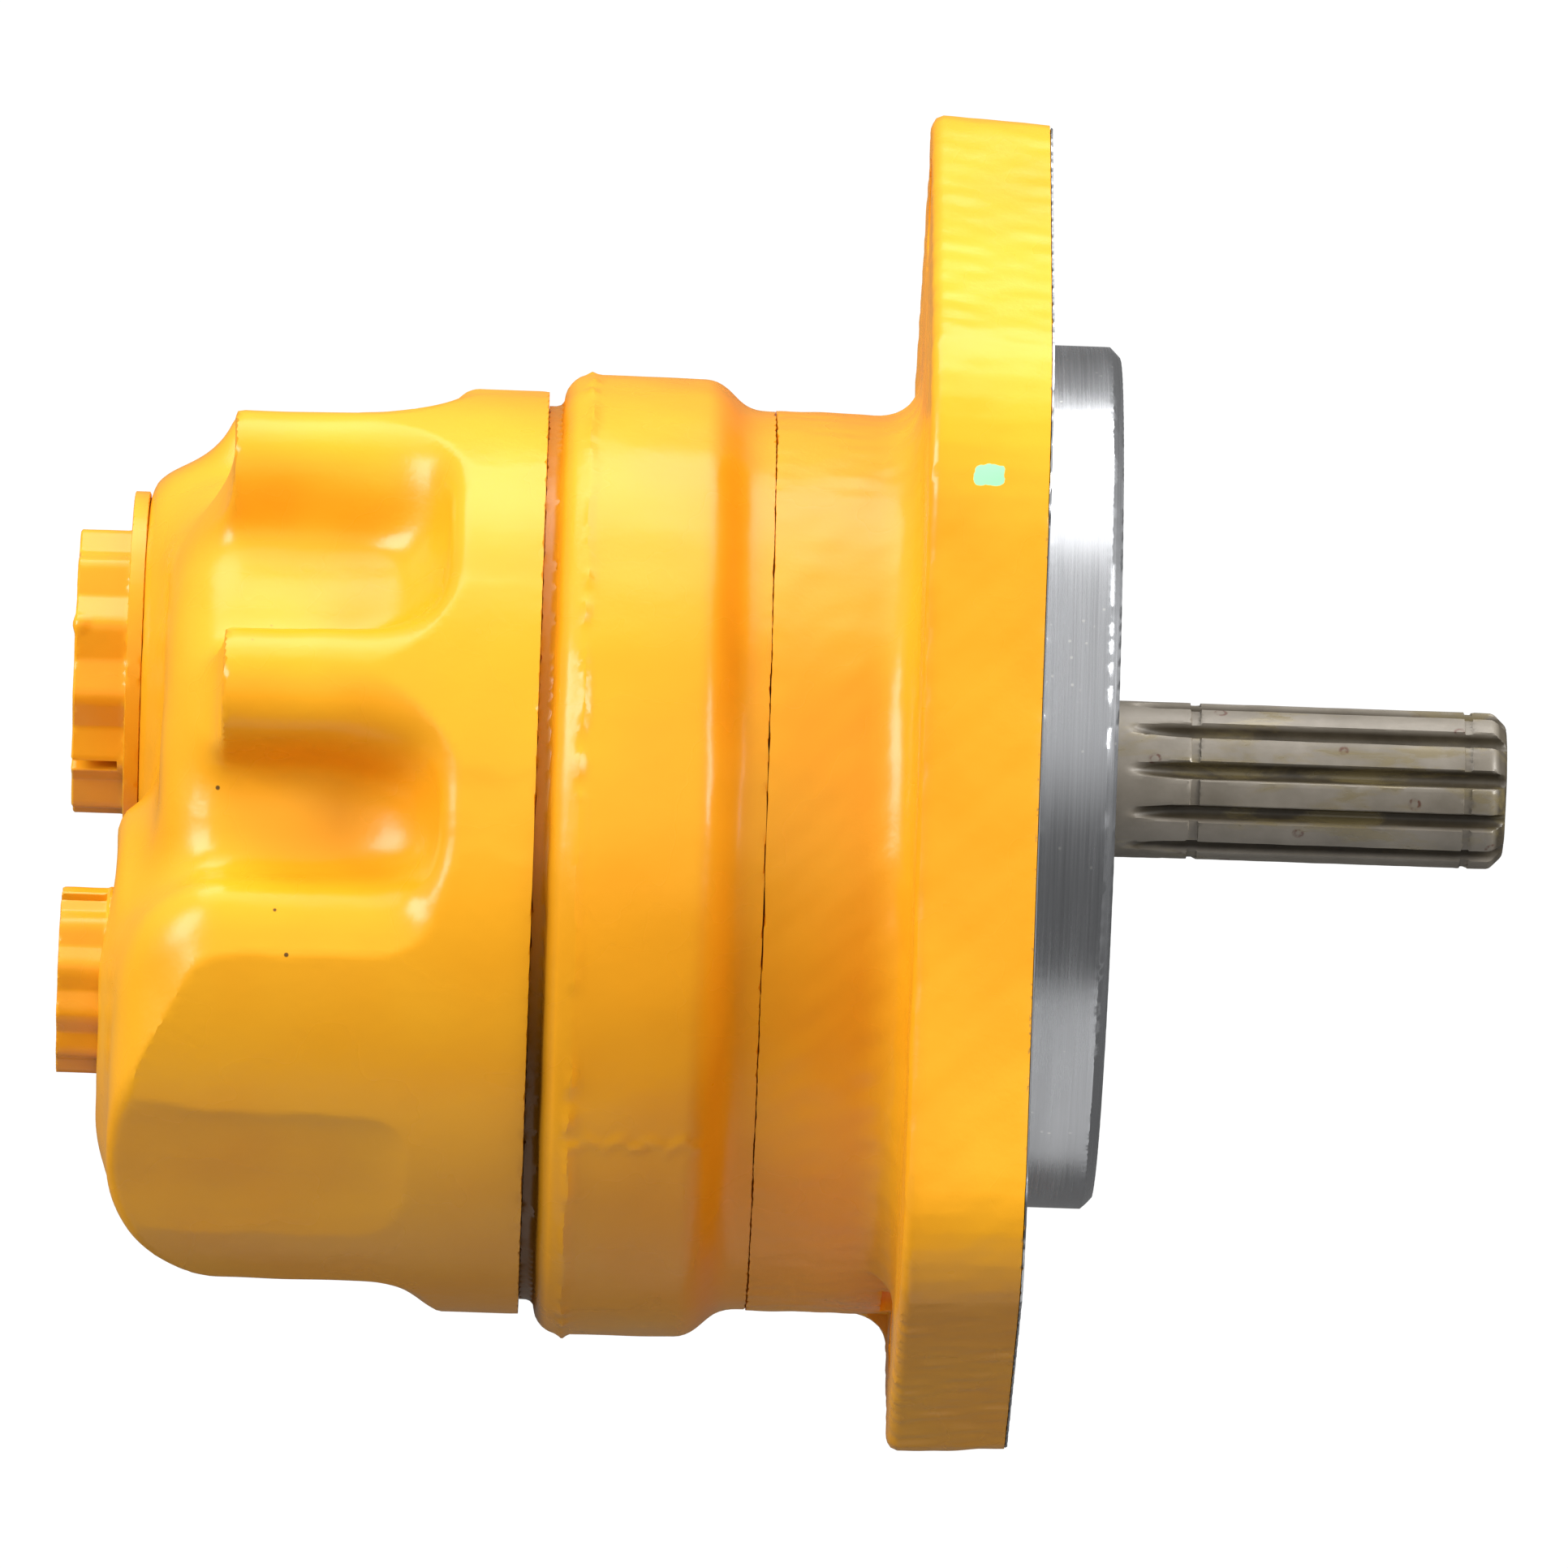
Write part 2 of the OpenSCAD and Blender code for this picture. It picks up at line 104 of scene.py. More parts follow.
# Screws, dowels, seals, gears and ports
SCREW_CIRCLE_R = 37.0
BOSS_CIRCLE_R = 38.5
SCREW_PLACES = [i for i in range(8) if i != 5]
SCREW_R = 4.2
THREAD_R = 4.02
HEAD_R = 6.0
DOWEL_R = 2.52
DOWEL_DEPTH = 6.5
BUSH_R = 10.02
SEAL_RADII = 32.3, 30.5
GEAR_POCKET_R = 16.03
CHAMBER = 11.0
LARGE_OFFSET, SMALL_OFFSET = 21.6, 18.3

# Shaft
JOURNAL_R = 8.0
SPLINE_R = 7.5
SPLINE_TEETH = 11
SPLINE_TURN = -8.3
snap_low, snap_high = box_mm("gear_snap_rings")
SNAP_BANDS = (snap_low[0] - 0.1, snap_low[0] + 1.1), (snap_high[0] - 1.1, snap_high[0] + 0.1)


# ---------------------------------------------------------------- distance fields

def smin(a, b, k):
    """Union with a fillet about k wide."""
    h = np.clip(0.5 + 0.5 * (b - a) / k, 0, 1)
    return b + (a - b) * h - k * h * (1 - h)


def smax(a, b, k):
    """Intersection with a round about k wide."""
    return -smin(-a, -b, k)


def cut(a, *tools):
    """A distance with the tools' shapes taken away."""
    for tool in tools:
        a = np.maximum(a, -tool)
    return a


def slab(t, low, high):
    """Between two values of one coordinate."""
    return np.maximum(low - t, t - high)


def capped(outline, depth, edge=0.0):
    """An outline's distance closed by a depth's distance, with round edges."""
    a, b = outline + edge, depth + edge
    return np.minimum(np.maximum(a, b), 0) + np.hypot(np.maximum(a, 0), np.maximum(b, 0)) - edge


def off_axis(p, centre=(0, 0)):
    """Distance from a line along X."""
    return np.hypot(p[1] - centre[0], p[2] - centre[1])


def rod(p, low, high, r, centre=(0, 0), edge=0.0):
    """A cylinder along X."""
    return capped(off_axis(p, centre) - r, slab(p[0], low, high), edge)


def ring(p, low, high, outer, inner, centre=(0, 0)):
    """A tube along X."""
    return np.maximum(rod(p, low, high, outer, centre), inner - off_axis(p, centre))


def polygon(u, v, points):
    """Signed distance to a closed polygon."""
    shape = np.broadcast(u, v).shape
    best = np.full(shape, 1e9, np.float32)
    sign = np.ones(shape, np.float32)
    for i, (ax, ay) in enumerate(points):
        bx, by = points[i - 1]
        ex, ey = bx - ax, by - ay
        wx, wy = u - ax, v - ay
        t = np.clip((wx * ex + wy * ey) / (ex * ex + ey * ey), 0, 1)
        best = np.minimum(best, (wx - ex * t) ** 2 + (wy - ey * t) ** 2)
        above, below, left = v >= ay, v < by, ex * wy > ey * wx
        flip = (above & below & left) | (~above & ~below & ~left)
        sign = np.where(flip, -sign, sign)
    return sign * np.sqrt(best)


def hexagon(u, v, corner_r, angle):
    """Distance to a hexagon with a corner at this angle, in radians."""
    flat = corner_r * math.cos(math.pi / 6)
    sides = [u * math.cos(angle + s) + v * math.sin(angle + s) - flat
             for s in np.radians(np.arange(30, 390, 60))]
    return np.maximum.reduce(sides)


def waves(p, size, seed, count=9):
    """Smooth noise from -1 to 1, with features about this size, in millimetres."""
    random = np.random.default_rng(seed)
    total = 0
    for _ in range(count):
        direction = random.normal(size=3)
        direction *= 2 * math.pi / (size * random.uniform(0.7, 1.5) * np.linalg.norm(direction))
        total = total + np.sin(p[0] * direction[0] + p[1] * direction[1] + p[2] * direction[2]
                               + random.uniform(0, 6.28))
    return total / count ** 0.5 / 1.6


def to_gears(p):
    """Coordinates along the line of the gears and across it, from the body's centre."""
    y, z = p[1] - BODY[0], p[2] - BODY[1]
    c, s = math.cos(GEAR_ANGLE), math.sin(GEAR_ANGLE)
    return y * c + z * s, -y * s + z * c


def around_body(circle_r, places):
    """Centres round the body, at places counted in eighths of a turn."""
    for i in places:
        a = math.radians((i + 0.5) * 45)
        yield BODY[0] + circle_r * math.cos(a), BODY[1] + circle_r * math.sin(a)


def rods(p, low, high, r, centres):
    return np.minimum.reduce([rod(p, low, high, r, centre) for centre in centres])


def screw_holes(p, low, high, r):
    return rods(p, low, high, r, around_body(SCREW_CIRCLE_R, SCREW_PLACES))


def dowel_holes(p, low, high):
    return rods(p, low, high, DOWEL_R, around_body(SCREW_CIRCLE_R, (0.5, 4.5)))


def mounting_holes(p, low, high, r):
    return rods(p, low, high, r, ((0, HOLE_Z), (0, -HOLE_Z)))


# ---------------------------------------------------------------- meshing a field

def carve(name, field, low, high, cell):
    """A closed mesh of the field's surface, by dual contouring: it keeps the sharp edges."""
    cell = cell * COARSE
    low = np.array(low, float) - 2.37 * cell
    count = np.ceil((np.array(high, float) - low) / cell).astype(int) + 3
    axes = [(low[i] + cell * np.arange(count[i])).astype(np.float32) for i in range(3)]
    grid = np.meshgrid(*axes, indexing="ij", sparse=True)
    value = np.broadcast_to(field(grid), count).astype(np.float32)
    inside = value < 0
    corners = sum(inside[i:count[0] - 1 + i, j:count[1] - 1 + j, k:count[2] - 1 + k].astype(np.uint8)
                  for i in (0, 1) for j in (0, 1) for k in (0, 1))
    active = (corners > 0) & (corners < 8)
    ids = np.full(active.shape, -1, np.int64)
    ids[active] = np.arange(active.sum())
    total = int(active.sum())

    sums = np.zeros((13, total))
    quads = []
    for axis in range(3):
        a = [slice(None)] * 3
        b = [slice(None)] * 3
        a[axis], b[axis] = slice(None, -1), slice(1, None)
        crossing = inside[tuple(a)] != inside[tuple(b)]
        at = np.argwhere(crossing)
        u, v = (axis + 1) % 3, (axis + 2) % 3
        ok = (at[:, u] > 0) & (at[:, v] > 0) & (at[:, u] < count[u] - 1) & (at[:, v] < count[v] - 1)
        at = at[ok]
        next_at = at.copy()
        next_at[:, axis] += 1
        f0, f1 = value[tuple(at.T)], value[tuple(next_at.T)]
        t = f0 / (f0 - f1)
        point = low + at * cell
        point[:, axis] += t * cell
        step = 0.04
        slope = np.stack([
            (field([point[:, i] + step * (i == g) for i in range(3)])
             - field([point[:, i] - step * (i == g) for i in range(3)])) for g in range(3)], 1)
        slope /= np.maximum(np.linalg.norm(slope, axis=1, keepdims=True), 1e-9)
        cells = []
        for du, dv in ((0, 0), (1, 0), (1, 1), (0, 1)):
            c = at.copy()
            c[:, u] -= du
            c[:, v] -= dv
            cells.append(ids[tuple(c.T)])
        along = np.einsum("ij,ij->i", slope, point)
        terms = [slope[:, 0] ** 2, slope[:, 1] ** 2, slope[:, 2] ** 2, slope[:, 0] * slope[:, 1],
                 slope[:, 0] * slope[:, 2], slope[:, 1] * slope[:, 2],
                 slope[:, 0] * along, slope[:, 1] * along, slope[:, 2] * along,
                 point[:, 0], point[:, 1], point[:, 2], np.ones(len(at))]
        for c in cells:
            for row, term in enumerate(terms):
                sums[row] += np.bincount(c, term, total)
        quad = np.stack(cells, 1)
        outward = f0 < 0
        quads.append(np.where(outward[:, None], quad[:, ::-1], quad))
    mass = (sums[9:12] / sums[12]).T
    matrix = np.empty((total, 3, 3))
    for row, (i, j) in enumerate(((0, 0), (1, 1), (2, 2), (0, 1), (0, 2), (1, 2))):
        matrix[:, i, j] = sums[row]
        matrix[:, j, i] = sums[row]
    right = sums[6:9].T - np.einsum("nij,nj->ni", matrix, mass)
    matrix += np.eye(3) * (0.04 * sums[12])[:, None, None]
    move = np.linalg.solve(matrix, right[:, :, None])[:, :, 0]
    length = np.linalg.norm(move, axis=1, keepdims=True)
    move *= np.minimum(1, 0.9 * cell / np.maximum(length, 1e-9))
    vertices = (mass + move) * MM
    faces = np.concatenate(quads)

    mesh = bpy.data.meshes.new(name)
    mesh.vertices.add(total)
    mesh.vertices.foreach_set("co", vertices.astype(np.float32).ravel())
    mesh.loops.add(len(faces) * 4)
    mesh.loops.foreach_set("vertex_index", faces.astype(np.int32).ravel())
    mesh.polygons.add(len(faces))
    mesh.polygons.foreach_set("loop_start", np.arange(0, len(faces) * 4, 4, dtype=np.int32))
    mesh.update(calc_edges=True)
    mesh.validate()
    mesh.shade_smooth()
    mesh.set_sharp_from_angle(angle=math.radians(34))
    piece = bpy.data.objects.new(name, mesh)
    bpy.context.scene.collection.objects.link(piece)
    return piece


# ---------------------------------------------------------------- castings

def arc(y, z, r, start, end, steps):
    return [(y + r * math.cos(a), z + r * math.sin(a)) for a in np.linspace(start, end, steps)]


def flange_points():
    """The flange's outline: flat sides, round corners, and straight runs to an ear at each end."""
    half_w = 48.0

    def corner(r, z):
        y = half_w - r
        slope = math.atan2(HOLE_Z - z, -y) - math.acos((r - EAR_R) / math.hypot(y, HOLE_Z - z))
        return arc(y, z, r, 0, slope, 10) + arc(0, HOLE_Z, EAR_R, slope, math.pi / 2, 8)

    upper, lower = corner(22.0, 24.5), corner(14.0, 36.5)
    right = [(a, -b) for a, b in reversed(lower)] + upper
    outline = right + [(-a, b) for a, b in reversed(right)]
    return [(a, b - EAR_DROP) for a, b in outline]


FLANGE_POINTS = flange_points()


def front_housing_field(p):
    """Flange, barrel and pilot, with every hole; only the outside behind the face is rough."""
    x = p[0]
    outline = smin(polygon(p[1], p[2], FLANGE_POINTS), off_axis(p, BODY) - (RING_R - 0.3), 2.0)
    flange = capped(outline + 0.055 * (x + FLANGE_T), slab(x, -FLANGE_T, 3.0), 1.3)
    draft = 0.25 * (x - FRONT_X) / FRONT_X
    barrel = capped(off_axis(p, BODY) - (FRONT_R - 0.1) - draft, slab(x, FRONT_X, -2.0))
    shell = smin(flange, barrel, 4.5)
    spots = mounting_holes(p, FRONT_X, -FLANGE_T - 0.05, SPOT_FACE_R)
    shell = np.minimum(np.maximum(shell, -spots), barrel)
    rough = 0.05 + 0.05 * np.clip((-50 - p[2]) / 6, 0, 1)
    shell = shell + (rough * waves(p, 3.2, 3) + 0.05 * waves(p, 11, 4)) * (x < -0.6)
    shell = np.maximum(shell, FRONT_X - x)
    shell = np.maximum(shell, x)
    chamfer = 1.0
    pilot = rod(p, -3.0, PILOT_X, PILOT_R)
    pilot = np.maximum(pilot, (off_axis(p) - PILOT_R + x - PILOT_X + chamfer) / math.sqrt(2))
    shell = np.minimum(shell, pilot)
    groove = ring(p, FRONT_X - 2, FRONT_X + 1.4, *SEAL_RADII, BODY)
    both = np.minimum(off_axis(p), off_axis(p, IDLER))
    pressure_groove = np.maximum(np.maximum(both - 14.3, 12.5 - both), slab(x, FRONT_X - 2, FRONT_X + 1.3))
    return cut(
        shell,
        mounting_holes(p, -FLANGE_T - 1, 5, HOLE_R),
        screw_holes(p, FRONT_X - 2, 12, SCREW_R), screw_holes(p, -9.5, 12, HEAD_R),
        dowel_holes(p, FRONT_X - 2, FRONT_X + DOWEL_DEPTH),
        rod(p, FRONT_X - 2, FRONT_X + 14.2, BUSH_R), rod(p, FRONT_X - 2, FRONT_X + 14.6, BUSH_R, IDLER),
        rod(p, -30, 12, 8.6), rod(p, -2.7, 12, 14.52), rod(p, 4.4, 5.6, 15.3),
        groove, pressure_groove)


def painted_front_field(p):
    return np.maximum(front_housing_field(p), p[0] + BARE_T)


def bare_front_field(p):
    return np.maximum(front_housing_field(p), -BARE_T - p[0])


def gear_housing_field(p):
    """The ring round the gears: a wide band, a neck and a tail, a cast flash line and one sag of paint."""
    x = p[0]
    r = off_axis(p, BODY)
    draft = 0.30 * np.clip((x - REAR_X) / (FRONT_X - REAR_X), 0, 1)
    angle = np.arctan2(p[2] - BODY[1], p[1] - BODY[0])
    band = capped(r - RING_R + draft, slab(x, REAR_X + 1.5, FRONT_X - 4.2), 2.6)
    neck = capped(r - (RIM_R - 1.35), slab(x, REAR_X, REAR_X + 8), 0.1)
    tail = capped(r - FRONT_R + 0.2, slab(x, REAR_X + 8, FRONT_X))
    shell = smin(smin(band, tail, 3.4), neck, 0.9)
    ragged = 0.7 + 0.5 * np.sin(angle * 41 + 2 * np.sin(angle * 17)) * (np.sin(angle * 7 + 1) > -0.2)
    flash = 0.34 * np.exp(-((x - REAR_X - 4.2 - 0.12 * np.sin(angle * 23)) / 0.42) ** 2) * ragged
    sag = angle + math.radians(180 - 36) + 0.012 * np.sin(x * 2.1) + 0.006 * np.sin(x * 5.3 + 1)
    sag = 0.16 * np.exp(-(sag / 0.013) ** 2) * (np.abs(x - REAR_X - 10.4) < 6.6)
    shell = shell - (flash + sag) * (r > RIM_R) + 0.06 * waves(p, 8, 5)
    shell = np.maximum(shell, slab(x, REAR_X, FRONT_X))
    pocket = np.minimum(off_axis(p), off_axis(p, IDLER)) - GEAR_POCKET_R
    u, v = to_gears(p)
    chambers = np.minimum(np.hypot(u, v - CHAMBER), np.hypot(u, v + CHAMBER)) - 6
    return cut(shell, pocket, chambers, screw_holes(p, REAR_X - 2, FRONT_X + 2, SCREW_R),
               dowel_holes(p, REAR_X - 2, FRONT_X + 2))


def block_field(p):
    """The thick lower block of the cover: flat faces, a slanting pad and round rear corners."""
    x, y, z = p
    near = NEAR_Y - y
    bottom = BOTTOM_Z - z
    top = z + 12.0
    back = BACK_X + 0.4 - x
    sides = np.maximum(smax(near, top, 6.0), np.maximum(bottom, y - 7.0))
    shape = np.maximum(capped(sides, back, 11.0), x - REAR_X)
    pad = (near + SLOPE_Z - z) / math.sqrt(2)
    return smax(shape, pad, 1.5)


def port_boss(p, centre, face_x, face_r, base_r, blend):
    """A round boss that widens from its face towards the body."""
    r = off_axis(p, centre)
    run = np.clip((p[0] - face_x) / 9.0, 0, 1)
    radius = face_r + (base_r - face_r) * np.sqrt(np.clip(2 * run - run * run, 0, 1))
    return capped((r - radius) * 0.8, slab(p[0], face_x, REAR_X - 2), blend)


def rear_cover_field(p):
    """The rear casting: rim, core, port bosses, block and screw bosses in deep fillets."""
    x = p[0]
    r = off_axis(p, BODY)
    rim = capped(r - RIM_R - 0.012 * (x - REAR_X), slab(x, REAR_X - 8.9, REAR_X + 4), 2.2)
    core_end = BACK_X + 4.2
    core = capped(r - 33.4 - 0.03 * (x - core_end), slab(x, core_end, REAR_X), 7.0)
    large = port_boss(p, LARGE_PORT, SPOT_X, 16.9, 21.3, 0.6)
    small = port_boss(p, SMALL_PORT, BACK_X + 0.3, 15.2, 17.5, 0.8)
    shape = smin(core, large, 5.0)
    shape = smin(shape, small, 5.0)
    shape = smin(shape, rim, 10.0)
    shape = smin(shape, block_field(p), 5.0)
    for centre in around_body(BOSS_CIRCLE_R, SCREW_PLACES):
        radius = 5.65 + 0.016 * (x - BOSS_END)
        boss = capped(off_axis(p, centre) - radius, slab(x, BOSS_END, REAR_X - 3), 0.7)
        shape = smin(shape, boss, 6.5)
    shape = shape + 0.07 * waves(p, 8, 7)
    shape = np.maximum(shape, x - REAR_X)
    shape = np.maximum(shape, r - RIM_R - 0.05)
    spot = rod(p, SPOT_X - 4, SPOT_X, 18.0, LARGE_PORT)
    u, v = to_gears(p)
    start = BACK_X + 16
    t = np.clip((x - start) / (REAR_X - start), -0.1, 1.2)
    wide = np.hypot(u, v - (LARGE_OFFSET + (CHAMBER - LARGE_OFFSET) * t)) - 6.2
    thin = np.hypot(u, v + (SMALL_OFFSET + (CHAMBER - SMALL_OFFSET) * t)) - 4.8
    drillings = np.maximum(np.minimum(wide, thin), BACK_X + 15 - x)
    return cut(
        shape, spot, drillings,
        rods(p, REAR_X - 14.6, REAR_X + 2, BUSH_R, ((0, 0), IDLER)),
        screw_holes(p, -73, REAR_X + 2, THREAD_R), dowel_holes(p, REAR_X - DOWEL_DEPTH, REAR_X + 2),
        ring(p, REAR_X - 1.4, REAR_X + 2, *SEAL_RADII, BODY),
        rod(p, SPOT_X - 2, SPOT_X + 17, 13.52, LARGE_PORT),
        rod(p, SPOT_X - 2, SPOT_X + 2.6, 15.1, LARGE_PORT),
        rod(p, BACK_X - 2, BACK_X + 17, 7.12, SMALL_PORT),
        rod(p, BACK_X - 2, BACK_X + 2.6, 8.7, SMALL_PORT))


# ---------------------------------------------------------------- plugs and shaft

def plug_field(p, centre, face_x, head_r, thread_r, disc_r, disc_t, ridge, slot, seed):
    """A port plug with a twelve-pointed head; ridge and slot are angles in degrees."""
    x = p[0]
    y, z = p[1] - centre[0], p[2] - centre[1]
    star = np.minimum(hexagon(y, z, head_r, math.radians(ridge)),
                      hexagon(y, z, head_r, math.radians(ridge + 30)))
    star = smax(star, np.hypot(y, z) - head_r + 0.25, 0.3)
    head = capped(star, slab(x, PLUG_X, face_x - disc_t / 2), 0.25)
    head = head + 0.03 * waves(p, 4, seed)
    a = math.radians(slot)
    across = np.abs(-y * math.sin(a) + z * math.cos(a)) - 0.65
    groove = np.maximum(across, x - PLUG_X - 4.4)
    head = smax(head, -groove, 0.25)
    disc = capped(np.hypot(y, z) - disc_r, slab(x, face_x - disc_t, face_x), 0.2)
    neck = capped(np.hypot(y, z) - thread_r + 1, slab(x, face_x - 0.5, face_x + 3), 0.0)
    pitch = 2.1
    thread = thread_r - 0.35 + 0.3 * np.cos(2 * math.pi * (x / pitch + np.arctan2(z, y) / (2 * math.pi)))
    shank = capped(np.hypot(y, z) - thread, slab(x, face_x + 2.6, face_x + 14.6), 0.4) * 0.7
    return np.minimum(smin(head, disc, 0.4), np.minimum(neck, shank))


def large_plug_field(p):
    """The large plug, with a drip of paint on its head."""
    body = plug_field(p, LARGE_PORT, SPOT_X, 14.2, 13.5, 17.6, 1.5, 10.5, 41.8, 11)
    drip = np.sqrt((p[0] - PLUG_X - 0.6) ** 2 + (p[1] - LARGE_PORT[0] + 12.6) ** 2
                   + (p[2] - LARGE_PORT[1] - 4.4) ** 2) - 0.75
    return smin(body, drip, 0.6)


def small_plug_field(p):
    return plug_field(p, SMALL_PORT, BACK_X, 9.2, 7.1, 9.0, 0.4, 21.5, 112.5, 13)


def shaft_field(p):
    """Journal, splined end with curved run-outs, grooves, snap-ring grooves and the gear's key slot."""
    x, y, z = p
    r = np.hypot(y, z)
    journal = capped(r - JOURNAL_R, slab(x, SHAFT_TAIL, 5.6), 0.3)
    stub = np.maximum(r - SPLINE_R, slab(x, 0, SHAFT_END))
    stub = smax(stub, (r - SPLINE_R + x - SHAFT_END + 1.3) / math.sqrt(2), 0.3)
    shaft = smin(journal, stub, 0.8)
    pitch = 2 * math.pi / SPLINE_TEETH
    angle = np.arctan2(z, y) + math.radians(SPLINE_TURN)
    across = (np.mod(angle + pitch / 2, pitch) - pitch / 2) * r
    root = SPLINE_R - 1.35
    cutter_r = 16.0
    rise = np.maximum(15.6 - x, 0)
    floor = root + cutter_r - np.sqrt(np.maximum(cutter_r ** 2 - rise ** 2, 0.01))
    half_width = 0.42 + 0.36 * np.maximum(r - floor, 0)
    gap = smax(np.abs(across) - half_width, floor - r, 0.5)
    gap = np.maximum(gap, 8.0 - x)
    shaft = smax(shaft, -gap * 0.85, 0.16)
    thin_r, outside_r = SPLINE_R - 0.24, 12
    bands = np.minimum(ring(p, 15.15, 16.05, outside_r, thin_r), ring(p, 41.3, 42.0, outside_r, thin_r))
    snap_grooves = [ring(p, *band, outside_r, JOURNAL_R - 0.5) for band in SNAP_BANDS]
    c, s = math.cos(GEAR_ANGLE), math.sin(GEAR_ANGLE)
    along, over = y * c + z * s, -y * s + z * c
    key_low, key_high = box_mm("drive_gear_key")
    key = np.maximum(slab(x, key_low[0] - 0.02, key_high[0] + 0.02),
                     np.maximum(np.abs(over) - 1.52, 6.58 - along))
    return cut(shaft, bands, *snap_grooves, key) + 0.02 * waves(p, 3.5, 17)


# ---------------------------------------------------------------- materials

class Nodes:
    """Short names for adding shader nodes to a new material, or to one that exists already."""

    def __init__(self, name, material=None):
        self.material = material or bpy.data.materials.new(name)
        self.material.use_nodes = True
        self.tree = self.material.node_tree
        self.shader = self.tree.nodes["Principled BSDF"]
        self.place = self.tree.nodes.new("ShaderNodeTexCoord").outputs["Object"]

    def link(self, source, target):
        self.tree.links.new(source, target)

    def scaled(self, x, y, z):
        node = self.tree.nodes.new("ShaderNodeMapping")
        node.inputs["Scale"].default_value = (x, y, z)
        self.link(self.place, node.inputs["Vector"])
        return node.outputs["Vector"]

    def noise(self, per_metre, detail=3.0, rough=0.5, place=None, distortion=0.0):
        node = self.tree.nodes.new("ShaderNodeTexNoise")
        node.inputs["Scale"].default_value = per_metre
        node.inputs["Detail"].default_value = detail
        node.inputs["Roughness"].default_value = rough
        node.inputs["Distortion"].default_value = distortion
        self.link(place or self.place, node.inputs["Vector"])
        return node.outputs["Fac"]

    def spots(self, per_metre, randomness=1.0):
        """Distance from the nearest of many scattered points."""
        node = self.tree.nodes.new("ShaderNodeTexVoronoi")
        node.inputs["Scale"].default_value = per_metre
        node.inputs["Randomness"].default_value = randomness
        self.link(self.place, node.inputs["Vector"])
        return node.outputs["Distance"]

    def ramp(self, source, *stops):
        """Maps a value through stops of (position, grey or colour)."""
        node = self.tree.nodes.new("ShaderNodeValToRGB")
        elements = node.color_ramp.elements
        while len(elements) < len(stops):
            elements.new(0.5)
        for element, (position, colour) in zip(elements, stops):
            element.position = position
            grey = isinstance(colour, (int, float))
            element.color = (colour, colour, colour, 1) if grey else (*colour, 1)
        self.link(source, node.inputs["Fac"])
        return node.outputs["Color"]

    def mix(self, factor, a, b):
        node = self.tree.nodes.new("ShaderNodeMix")
        node.data_type = "RGBA"
        self.feed(factor, node.inputs["Factor"])
        self.feed(a, node.inputs[6])
        self.feed(b, node.inputs[7])
        return node.outputs[2]

    def feed(self, value, target):
        if isinstance(value, bpy.types.NodeSocket):
            self.link(value, target)
        elif isinstance(value, (tuple, list)):
            target.default_value = (*value, 1)
        else:
            target.default_value = value

    def math(self, operation, a, b=0.0):
        node = self.tree.nodes.new("ShaderNodeMath")
        node.operation = operation
        self.feed(a, node.inputs[0])
        self.feed(b, node.inputs[1])
        return node.outputs[0]

    def axes(self):
        node = self.tree.nodes.new("ShaderNodeSeparateXYZ")
        self.link(self.place, node.inputs[0])
        return node.outputs

    def bump(self, height, distance_mm, strength=1.0, under=None):
        node = self.tree.nodes.new("ShaderNodeBump")
        node.inputs["Strength"].default_value = strength
        node.inputs["Distance"].default_value = distance_mm * MM
        self.link(height, node.inputs["Height"])
        if under is not None:
            self.link(under, node.inputs["Normal"])
        return node.outputs["Normal"]

    def finish(self, colour, roughness, normal=None, **constants):
        self.feed(colour, self.shader.inputs["Base Color"])
        self.feed(roughness, self.shader.inputs["Roughness"])
        if normal is not None:
            self.link(normal, self.shader.inputs["Normal"])
        for key, value in constants.items():
            self.shader.inputs[key.replace("_", " ")].default_value = value
        return self.material


YELLOW = (0.86, 0.385, 0.013)
DEEP_YELLOW = (0.82, 0.335, 0.009)
GREEN_DOT = (0.33, 0.80, 0.42)
# Painted shade colour for the groove between the gear housing and the cover.
GROOVE_PAINTED_SHADE = (0.10, 0.042, 0.004)
PINHOLE_BROWN = (0.13, 0.06, 0.01)
CHIP_GREY = (0.10, 0.08, 0.06)
OIL_AMBER = (0.21, 0.165, 0.070)
RUST = (0.085, 0.022, 0.008)
DUST = (0.75, 0.75, 0.73)


def paint(name, peel=1.0, marks=True):
    """Gloss enamel over a casting: uneven tint, orange peel, cast grain and, with marks, pinholes."""
    n = Nodes(name)
    tint = n.ramp(n.noise(45, 2), (0.35, DEEP_YELLOW), (0.62, YELLOW))
    if marks:
        pin = n.ramp(n.spots(210), (0.035, 1.0), (0.055, 0.0))
        rare = n.ramp(n.noise(60, 1), (0.60, 0.0), (0.64, 1.0))
        tint = n.mix(n.math("MULTIPLY", pin, rare), tint, PINHOLE_BROWN)
    peel_noise = n.noise(620, 2, 0.45)
    grain = n.noise(1900, 3, 0.6)
    patch = n.ramp(n.noise(38, 2), (0.42, 0.15), (0.62, 1.0))
    wavy = n.bump(peel_noise, 0.10 * peel, 0.35)
    rough = n.math("MULTIPLY", grain, patch)
    normal = n.bump(rough, 0.05 * peel, 0.35, wavy)
    gloss = n.ramp(n.noise(70, 3), (0.3, 0.22), (0.7, 0.34))
    return n.finish(tint, gloss, normal, Specular_IOR_Level=0.36)


